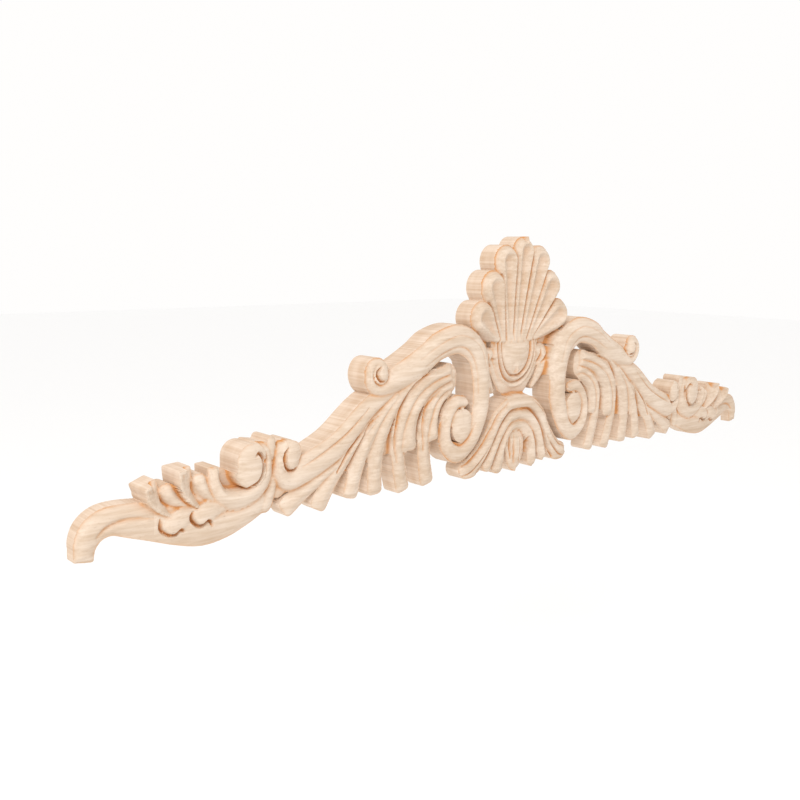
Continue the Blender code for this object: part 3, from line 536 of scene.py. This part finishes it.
# Corners 0 to 3 of a cell run round it, and 4 to 7 are the crossings between them. Each case of
# corners in the wood has the pieces that lie in the wood, then the edges where the wood ends.
CELLS = {
    1: (((0, 4, 7),), ((4, 7),)),
    2: (((1, 5, 4),), ((5, 4),)),
    3: (((0, 1, 5, 7),), ((5, 7),)),
    4: (((2, 6, 5),), ((6, 5),)),
    5: (((0, 4, 7), (2, 6, 5)), ((4, 7), (6, 5))),
    6: (((1, 2, 6, 4),), ((6, 4),)),
    7: (((0, 1, 2, 6, 7),), ((6, 7),)),
    8: (((3, 7, 6),), ((7, 6),)),
    9: (((0, 4, 6, 3),), ((4, 6),)),
    10: (((1, 5, 4), (3, 7, 6)), ((5, 4), (7, 6))),
    11: (((0, 1, 5, 6, 3),), ((5, 6),)),
    12: (((2, 3, 7, 5),), ((7, 5),)),
    13: (((0, 4, 5, 2, 3),), ((4, 5),)),
    14: (((1, 2, 3, 7, 4),), ((7, 4),)),
}
ALL_IN_WOOD = 15
corner = np.stack([ids[:-1, :-1], ids[1:, :-1], ids[1:, 1:], ids[:-1, 1:],
                   cross_x[:, :-1], cross_z[1:, :], cross_x[:, 1:], cross_z[:-1, :]], axis=-1)
case = solid[:-1, :-1] * 1 + solid[1:, :-1] * 2 + solid[1:, 1:] * 4 + solid[:-1, 1:] * 8
triangles = []
ends = []
whole = corner[case == ALL_IN_WOOD]
# Whole cells are split along the diagonal with the smaller change of height
level = front_level[whole[:, :4]]
even = np.abs(level[:, 0] - level[:, 2]) <= np.abs(level[:, 1] - level[:, 3])
for rows, order in ((even, ((0, 1, 2), (0, 2, 3))), (~even, ((1, 2, 3), (1, 3, 0)))):
    for one in order:
        triangles.append(whole[rows][:, one])
for number, (pieces, edges) in CELLS.items():
    cells = corner[case == number]
    for piece in pieces:
        for k in range(1, len(piece) - 1):
            triangles.append(cells[:, (piece[0], piece[k], piece[k + 1])])
    for a, b in edges:
        ends.append(cells[:, (a, b)])
triangles = np.concatenate(triangles)
ends = np.concatenate(ends)

# Sides and back: the outline's vertices again, half way down the side and on the back's plane
rim = np.unique(ends)
rim_number = np.full(len(places), -1)
rim_number[rim] = np.arange(len(rim))
middle_ids = len(places) + rim_number
back_ids = middle_ids + len(rim)
walls = []
for top, low in ((np.arange(len(places)), middle_ids), (middle_ids, back_ids)):
    a_top, b_top, a_low, b_low = top[ends[:, 0]], top[ends[:, 1]], low[ends[:, 0]], low[ends[:, 1]]
    walls.append(np.column_stack([b_top, a_top, a_low]))
    walls.append(np.column_stack([b_top, a_low, b_low]))
walls = np.concatenate(walls)

# The back is filled with triangles between the outlines, and those over an opening are left out
flat = delaunay_2d_cdt([Vector(p) for p in places[rim]], rim_number[ends].tolist(), [], 0, SAME_PLACE)
flat_faces = np.array([face for face in flat[2] if len(face) == 3])
flat_source = np.array([entry[0] if entry else -1 for entry in flat[3]])
middles = places[rim][flat_source[flat_faces]].mean(axis=1)
cell_i = np.clip(((middles[:, 0] - grid_x[0]) / GRID_PITCH).astype(int), 0, nx - 2)
cell_j = np.clip(((middles[:, 1] - grid_z[0]) / GRID_PITCH).astype(int), 0, nz - 2)
u = (middles[:, 0] - grid_x[cell_i]) / GRID_PITCH
v = (middles[:, 1] - grid_z[cell_j]) / GRID_PITCH
between = (inside[cell_i, cell_j] * (1 - u) * (1 - v) + inside[cell_i + 1, cell_j] * u * (1 - v)
           + inside[cell_i, cell_j + 1] * (1 - u) * v + inside[cell_i + 1, cell_j + 1] * u * v)
backs = back_ids[rim[flat_source[flat_faces[between > 0.0]]]]
plan = np.vstack([places, places[rim], places[rim]])
first, second, third = (plan[backs[:, k]] for k in range(3))
one, two = second - first, third - first
turn = one[:, 0] * two[:, 1] - one[:, 1] * two[:, 0]
backs = np.where(turn[:, None] > 0, backs[:, ::-1], backs)

depth = np.concatenate([front_level, front_level[rim] * 0.5, np.zeros(len(rim))])
points = np.column_stack([plan[:, 0] * UNIT, -depth * THICKNESS, (plan[:, 1] - ORIGIN_HEIGHT) * UNIT])
points = np.clip(points, cad_box[0], cad_box[1])
faces = np.concatenate([triangles, walls, backs])
mesh = bpy.data.meshes.new("acanthus_carving")
mesh.from_pydata(points, [], faces)
slots = np.repeat((0, 1, 2), (len(triangles), len(walls), len(backs)))
mesh.polygons.foreach_set("material_index", slots)
# The depth below the surroundings goes to the shader for the painted shade and the orange of the grooves
for name, values in (("cut_shade_near", near_shade_level), ("cut_shade_wide", wide_shade_level)):
    layer = mesh.attributes.new(name, "FLOAT", "POINT")
    layer.data.foreach_set("value", np.concatenate([values, values[rim], values[rim] * 0]))
mesh.shade_smooth()
mesh.set_sharp_from_angle(angle=math.radians(SHARP_ANGLE))
mesh.update()
applique = bpy.data.objects.new("acanthus_carving", mesh)
bpy.context.scene.collection.objects.link(applique)

# Colours of the wood: pale strips, warmer strips, the orange of the cuts that also paints shade into the
# grooves, and the routed sides
PALE = (0.770, 0.645, 0.532, 1.0)
WARM = (0.535, 0.392, 0.272, 1.0)
CUT_ORANGE_AND_SHADE = (0.600, 0.290, 0.110, 1.0)
SIDE_TAN = (0.520, 0.345, 0.215, 1.0)
SIDE_PALE = (0.800, 0.660, 0.540, 1.0)
PORE_BROWN = (0.420, 0.240, 0.130, 1.0)

# Glued strips in metres: their length and height, the joint between them, and how far each row
# is shifted as a share of the length; then how much their tone and the joint show
STRIP_LENGTH = 0.131
STRIP_HEIGHT = 0.0315
STRIP_JOINT = 0.00022
STRIP_SHIFT = 0.43
STRIP_SHARE = 0.26
JOINT_SHARE = 0.16

# Noises by how often they change in a metre along x, y and z, with their detail
STREAKS = ((14.0, 260.0, 330.0), 3.0)
CLOUDS = ((22.0, 40.0, 46.0), 2.0)
FINE_STREAKS = ((60.0, 700.0, 800.0), 2.0)
PORES = ((330.0, 2600.0, 2600.0), 1.0)
PATCHES = ((60.0, 60.0, 60.0), 2.0)
GOUGE_MARKS = ((160.0, 160.0, 160.0), 2.0)
GRAIN = ((90.0, 1500.0, 1500.0), 2.0)
ROUTER_LINES = ((900.0, 14.0, 900.0), 3.0)
ROUTER_BANDS = ((170.0, 10.0, 170.0), 2.0)
SIDE_LAYERS = ((9.0, 150.0, 34.0), 2.0)

# How rough the finer layers of every noise are, and the values that patches and pores are spread
# between
NOISE_ROUGHNESS = 0.55
PATCH_SPREAD = (0.30, 0.65)
PORE_SPREAD = (0.66, 0.78)

# Tone from pale to warm: each noise, the values that it is spread between, and its share
FRONT_TONES = ((STREAKS, 0.34, 0.66, 0.40), (CLOUDS, 0.34, 0.68, 0.22), (FINE_STREAKS, 0.34, 0.66, 0.26))
SIDE_TONES = ((ROUTER_LINES, 0.32, 0.68, 0.40), (ROUTER_BANDS, 0.30, 0.70, 0.35),
              (SIDE_LAYERS, 0.35, 0.65, 0.25))

# The tint of the cuts, their orange and painted shade in the grooves: shares of the near and the
# wide groove, its strength, and its least and further share from patch to patch
NEAR_SHARE = 0.85
WIDE_SHARE = 0.34
TINT_STRENGTH = 1.35
TINT_LEAST = 0.35
TINT_PATCHY = 0.75

# How far the pores are tinted, and heights in metres of the marks that the light catches
PORE_SHARE = 0.34
PORE_DEPTH = 0.00010
GOUGE_HEIGHT = 0.00030
GRAIN_HEIGHT = 0.00012
ROUTER_HEIGHT = 0.00035
BUMP_STRENGTH = 0.8

# Roughness of the planed and carved wood, what its streaks add, and that of the routed sides; then
# how strongly each mirrors light
WOOD_ROUGHNESS = 0.50
STREAK_ROUGHNESS = 0.16
SIDE_ROUGHNESS = 0.72
WOOD_SPECULAR = 0.30
SIDE_SPECULAR = 0.25


class Nodes:
    """A material's node tree, with short ways to add a node and join it to others."""

    def __init__(self, name):
        self.material = bpy.data.materials.new(name)
        self.material.use_nodes = True
        self.tree = self.material.node_tree
        self.shader = self.tree.nodes["Principled BSDF"]

    def set(self, socket, value):
        """Joins the socket to another one, or gives it a value."""
        if isinstance(value, bpy.types.NodeSocket):
            self.tree.links.new(value, socket)
        else:
            socket.default_value = value

    def add(self, kind, inputs, **settings):
        """A node of that kind: its settings, then its inputs as values or as sockets to join."""
        node = self.tree.nodes.new(kind)
        for key, value in settings.items():
            setattr(node, key, value)
        for key, value in inputs.items():
            self.set(node.inputs[key], value)
        return node

    def places(self):
        """The place on the object in metres."""
        return self.add("ShaderNodeTexCoord", {}).outputs["Object"]

    def noise(self, kind):
        """A noise from nought to one, by how often it changes in a metre on each axis."""
        scale, detail = kind
        stretched = self.add("ShaderNodeMapping", {"Vector": self.places(), "Scale": scale}).outputs[0]
        return self.add("ShaderNodeTexNoise", {"Vector": stretched, "Scale": 1.0, "Detail": detail,
                                               "Roughness": NOISE_ROUGHNESS}).outputs["Fac"]

    def ramp(self, value, low, high):
        """The value spread so that low becomes nought and high becomes one."""
        inputs = {"Value": value, "From Min": low, "From Max": high}
        return self.add("ShaderNodeMapRange", inputs).outputs[0]

    def mix(self, share, one, two):
        """Two colours mixed by a share."""
        return self.add("ShaderNodeMix", {0: share, 6: one, 7: two}, data_type="RGBA").outputs[2]

    def arithmetic(self, one, operation, two):
        """The sum, difference or product of two values."""
        return self.add("ShaderNodeMath", {0: one, 1: two}, operation=operation).outputs[0]

    def times(self, one, two):
        return self.arithmetic(one, "MULTIPLY", two)

    def plus(self, one, two):
        return self.arithmetic(one, "ADD", two)

    def tones(self, start, layers):
        """The start plus each layer: its noise spread between two values, times its share."""
        total = start
        for kind, low, high, share in layers:
            total = self.plus(total, self.times(self.ramp(self.noise(kind), low, high), share))
        return total

    def surface(self, colour, roughness, raised, specular):
        """Joins colour, roughness and raised height in metres to the shader. Gives the material."""
        bump = self.add("ShaderNodeBump", {"Height": raised, "Strength": BUMP_STRENGTH, "Distance": 1.0})
        self.set(self.shader.inputs["Base Color"], colour)
        self.set(self.shader.inputs["Roughness"], roughness)
        self.set(self.shader.inputs["Normal"], bump.outputs[0])
        self.set(self.shader.inputs["Specular IOR Level"], specular)
        return self.material


def glued_strips(wood):
    """The glued strips on the x and z of the object: the tone of each, and where the joints are."""
    place = wood.add("ShaderNodeSeparateXYZ", {0: wood.places()})
    flat_place = wood.add("ShaderNodeCombineXYZ", {0: place.outputs[0], 1: place.outputs[2]})
    strips = wood.add("ShaderNodeTexBrick", {
        "Vector": flat_place.outputs[0], "Scale": 1.0, "Mortar Size": STRIP_JOINT, "Mortar Smooth": 1.0,
        "Brick Width": STRIP_LENGTH, "Row Height": STRIP_HEIGHT, "Color1": (0.0, 0.0, 0.0, 1.0),
        "Color2": (1.0, 1.0, 1.0, 1.0), "Mortar": (0.5, 0.5, 0.5, 1.0)}, offset=STRIP_SHIFT)
    tone = wood.add("ShaderNodeSeparateColor", {0: strips.outputs["Color"]}).outputs[0]
    return tone, strips.outputs["Fac"]


def cut_orange_and_shade(wood):
    """How orange and dark each place is, as the orange of cut wood and painted shade: more the deeper it
    lies in a cut, and in patches.

    share = (near * NEAR_SHARE + wide * WIDE_SHARE) * (patch * TINT_PATCHY + TINT_LEAST) * strength
    """
    near = wood.add("ShaderNodeAttribute", {}, attribute_name="cut_shade_near").outputs["Fac"]
    wide = wood.add("ShaderNodeAttribute", {}, attribute_name="cut_shade_wide").outputs["Fac"]
    both = wood.plus(wood.times(near, NEAR_SHARE), wood.times(wide, WIDE_SHARE))
    patch = wood.plus(wood.times(wood.ramp(wood.noise(PATCHES), *PATCH_SPREAD), TINT_PATCHY), TINT_LEAST)
    share = wood.times(wood.times(both, patch), TINT_STRENGTH)
    return wood.add("ShaderNodeClamp", {0: share}).outputs[0]


def rubberwood(name, has_cuts):
    """Glued strips of rubberwood: grain along the length, short pores, tone from strip to strip."""
    wood = Nodes(name)
    strip_tone, joint = glued_strips(wood)
    colour = wood.mix(wood.tones(wood.times(strip_tone, STRIP_SHARE), FRONT_TONES), PALE, WARM)
    pores = wood.ramp(wood.noise(PORES), *PORE_SPREAD)
    colour = wood.mix(wood.times(pores, PORE_SHARE), colour, PORE_BROWN)
    colour = wood.mix(wood.times(joint, JOINT_SHARE), colour, PORE_BROWN)
    if has_cuts:
        # Painted shade in the cuts and grooves, with the orange of cut wood
        colour = wood.mix(cut_orange_and_shade(wood), colour, CUT_ORANGE_AND_SHADE)
    roughness = wood.plus(wood.times(wood.noise(STREAKS), STREAK_ROUGHNESS), WOOD_ROUGHNESS)
    raised = wood.plus(wood.times(wood.noise(GOUGE_MARKS), GOUGE_HEIGHT),
                       wood.times(wood.noise(GRAIN), GRAIN_HEIGHT))
    raised = wood.arithmetic(raised, "SUBTRACT", wood.times(pores, PORE_DEPTH))
    return wood.surface(colour, roughness, raised, WOOD_SPECULAR)


def routed_side():
    """The side left by the router: fine lines straight through the board over tan and pale strips."""
    wood = Nodes("routed_side")
    colour = wood.mix(wood.tones(0.0, SIDE_TONES), SIDE_PALE, SIDE_TAN)
    raised = wood.times(wood.noise(ROUTER_LINES), ROUTER_HEIGHT)
    return wood.surface(colour, SIDE_ROUGHNESS, raised, SIDE_SPECULAR)


mesh.materials.append(rubberwood("carved_front", True))
mesh.materials.append(routed_side())
mesh.materials.append(rubberwood("planed_back", False))
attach(applique, "root")
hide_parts("carved_applique")

# A plain pale floor, well below the carving, and a plain pale sky of soft light over it
FLOOR_DROP = 0.30
FLOOR_SIZE = 12.0
FLOOR_WHITE = (0.97, 0.97, 0.97, 1.0)
FLOOR_ROUGHNESS = 0.9
SKY_WHITE = (1.0, 0.99, 0.98, 1.0)
SKY_STRENGTH = 1.0
edge = FLOOR_SIZE / 2
floor_z = cad_box[0][2] - FLOOR_DROP
floor_mesh = bpy.data.meshes.new("pale_floor")
floor_mesh.from_pydata([(-edge, -edge, floor_z), (edge, -edge, floor_z), (edge, edge, floor_z),
                        (-edge, edge, floor_z)], [], [(0, 1, 2, 3)])
floor = bpy.data.objects.new("pale_floor", floor_mesh)
bpy.context.scene.collection.objects.link(floor)
paint = bpy.data.materials.new("pale_floor")
paint.use_nodes = True
paint.node_tree.nodes["Principled BSDF"].inputs["Base Color"].default_value = FLOOR_WHITE
paint.node_tree.nodes["Principled BSDF"].inputs["Roughness"].default_value = FLOOR_ROUGHNESS
floor_mesh.materials.append(paint)

sky = bpy.data.worlds.new("soft_sky")
sky.use_nodes = True
sky.node_tree.nodes["Background"].inputs["Color"].default_value = SKY_WHITE
sky.node_tree.nodes["Background"].inputs["Strength"].default_value = SKY_STRENGTH
bpy.context.scene.world = sky
bpy.context.scene.view_settings.view_transform = "Standard"

# A soft box to the left and in front, high up: place and target in metres, width, power in watts
KEY_PLACE = (-0.95, -0.72, 0.85)
KEY_TARGET = (-0.10, 0.0, 0.02)
KEY_SIZE = 0.50
KEY_POWER = 9.0
key_lamp = bpy.data.lights.new("key_light", "AREA")
key_lamp.shape = "SQUARE"
key_lamp.size = KEY_SIZE
key_lamp.energy = KEY_POWER
key_light = bpy.data.objects.new("key_light", key_lamp)
key_light.location = KEY_PLACE
key_light.rotation_euler = (Vector(KEY_TARGET) - Vector(KEY_PLACE)).to_track_quat("-Z", "Y").to_euler()
bpy.context.scene.collection.objects.link(key_light)

# The camera at the photograph's place: to the left of the carving, a little above it, and close.
# Place in metres, turn in degrees, lens and sensor width in millimetres.
CAMERA_PLACE = (-0.4556, -0.4060, 0.1050)
CAMERA_TURN = (80.776, -0.686, -41.636)
CAMERA_LENS = 40.968
CAMERA_SENSOR = 36.0
camera_data = bpy.data.cameras.new("photo_camera")
camera_data.sensor_width = CAMERA_SENSOR
camera_data.lens = CAMERA_LENS
camera = bpy.data.objects.new("photo_camera", camera_data)
camera.location = CAMERA_PLACE
camera.rotation_euler = tuple(math.radians(angle) for angle in CAMERA_TURN)
bpy.context.scene.collection.objects.link(camera)
bpy.context.scene.camera = camera
